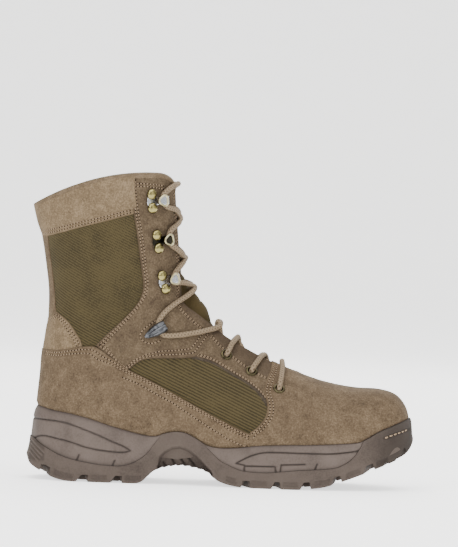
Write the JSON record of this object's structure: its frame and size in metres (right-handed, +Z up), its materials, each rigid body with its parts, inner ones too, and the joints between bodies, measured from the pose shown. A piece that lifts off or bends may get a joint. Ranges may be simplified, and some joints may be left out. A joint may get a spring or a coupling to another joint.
{
  "type": "combat boot",
  "caption": "Lace-up combat boot in suede and ribbed nylon on a lugged rubber sole, with hooks, eyelets and an ankle lace lock",
  "frame": {"origin": "on the floor, below the middle of the boot's length and width", "axes": "+X towards the toe, +Y towards the inner (medial) side of the foot, +Z up"},
  "size_m": [0.3032, 0.109, 0.2417],
  "materials": {
    "outsole_rubber": "moulded rubber, satin",
    "midsole_foam": "moulded foam, satin",
    "insole_cloth": "felted cloth",
    "suede": "suede",
    "nylon": "ribbed weave",
    "antique_brass": "antique",
    "lock_steel": "satin",
    "lace_cord": "braided cord"
  },
  "bodies": {
    "root": {"outsole": "outsole_rubber", "midsole": "midsole_foam", "insole": "insole_cloth", "upper": "suede", "tongue": "nylon", "eyelet_1_lateral": "antique_brass", "eyelet_2_lateral": "antique_brass", "eyelet_3_lateral": "antique_brass", "rivet_1_upper_lateral": "antique_brass", "rivet_1_lower_lateral": "antique_brass", "rivet_2_upper_lateral": "antique_brass", "rivet_2_lower_lateral": "antique_brass", "rivet_3_upper_lateral": "antique_brass", "rivet_3_lower_lateral": "antique_brass", "eyelet_1_medial": "antique_brass", "eyelet_2_medial": "antique_brass", "eyelet_3_medial": "antique_brass", "rivet_1_upper_medial": "antique_brass", "rivet_1_lower_medial": "antique_brass", "rivet_2_upper_medial": "antique_brass", "rivet_2_lower_medial": "antique_brass", "rivet_3_upper_medial": "antique_brass", "rivet_3_lower_medial": "antique_brass", "hook_1_lateral": "antique_brass", "hook_2_lateral": "antique_brass", "hook_3_lateral": "antique_brass", "hook_1_medial": "antique_brass", "hook_2_medial": "antique_brass", "hook_3_medial": "antique_brass", "lace_lock_lateral": "lock_steel", "lace_lock_medial": "lock_steel", "lace_bar": "lace_cord", "lace_cross_1": "lace_cord", "lace_cross_2": "lace_cord", "lace_cross_3": "lace_cord", "lace_cross_4": "lace_cord", "lace_cross_5": "lace_cord", "lace_cross_6": "lace_cord", "lace_cross_7": "lace_cord"}
  },
  "joints": []
}
